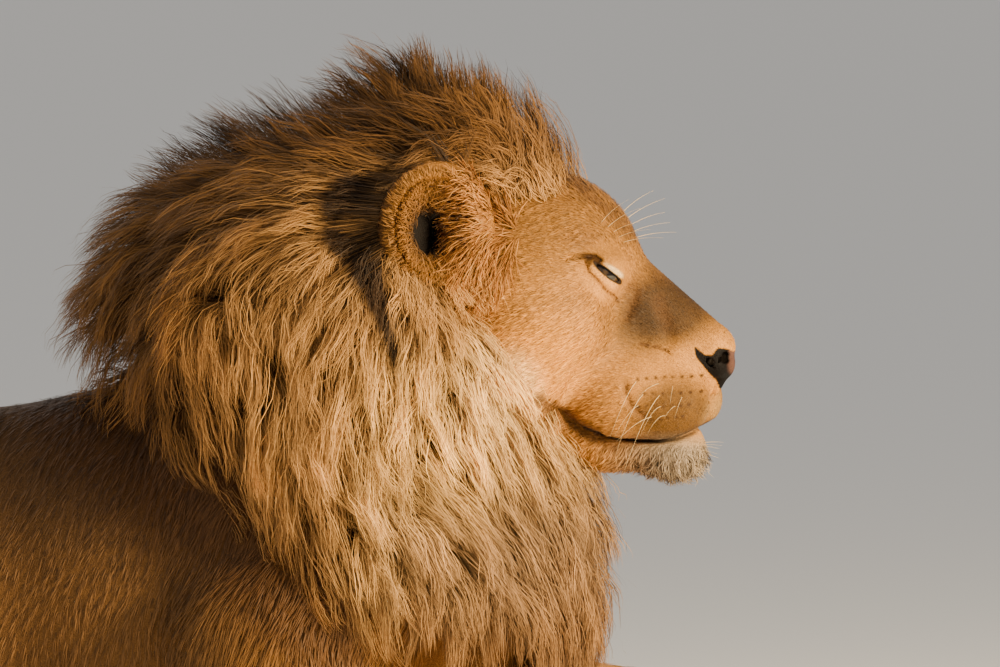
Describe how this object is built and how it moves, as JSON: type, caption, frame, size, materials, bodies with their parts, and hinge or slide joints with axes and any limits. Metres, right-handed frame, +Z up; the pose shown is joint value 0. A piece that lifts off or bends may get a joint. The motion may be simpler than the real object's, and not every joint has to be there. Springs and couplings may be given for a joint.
{
  "type": "male lion museum model",
  "caption": "Life-size male lion lying on its chest with its head raised and its eyes nearly closed; a still display model that rests on a floor.",
  "frame": {"origin": "on the floor, under the middle of the whole model's box", "axes": "+X the way the lion faces, +Y its left, +Z up"},
  "size_m": [1.7358, 0.701, 0.8056],
  "materials": {
    "coat": "short dense tan fur, paler underneath",
    "pale_hair": "soft cream hair of the chin and the chest",
    "mane_hair": "long golden-blond hair with browner tips",
    "nose_leather": "bare dark skin, slightly moist",
    "amber_eye": "wet glossy eyeball with an amber iris"
  },
  "bodies": {
    "root": {"head": "coat", "jaw": "pale_hair", "nose": "nose_leather", "ear_right": "coat", "ear_left": "coat", "eye_right": "amber_eye", "eye_left": "amber_eye", "mane": "mane_hair", "mane_crest": "mane_hair", "mane_bib": "pale_hair", "trunk": "coat", "shoulder_right": "coat", "shoulder_left": "coat", "forearm_right": "coat", "forearm_left": "coat", "forepaw_right": "coat", "forepaw_left": "coat", "thigh_right": "coat", "thigh_left": "coat", "shank_right": "coat", "shank_left": "coat", "hindpaw_right": "coat", "hindpaw_left": "coat", "tail_root": "coat", "tail_end": "coat", "tail_tuft": "mane_hair"}
  },
  "joints": []
}
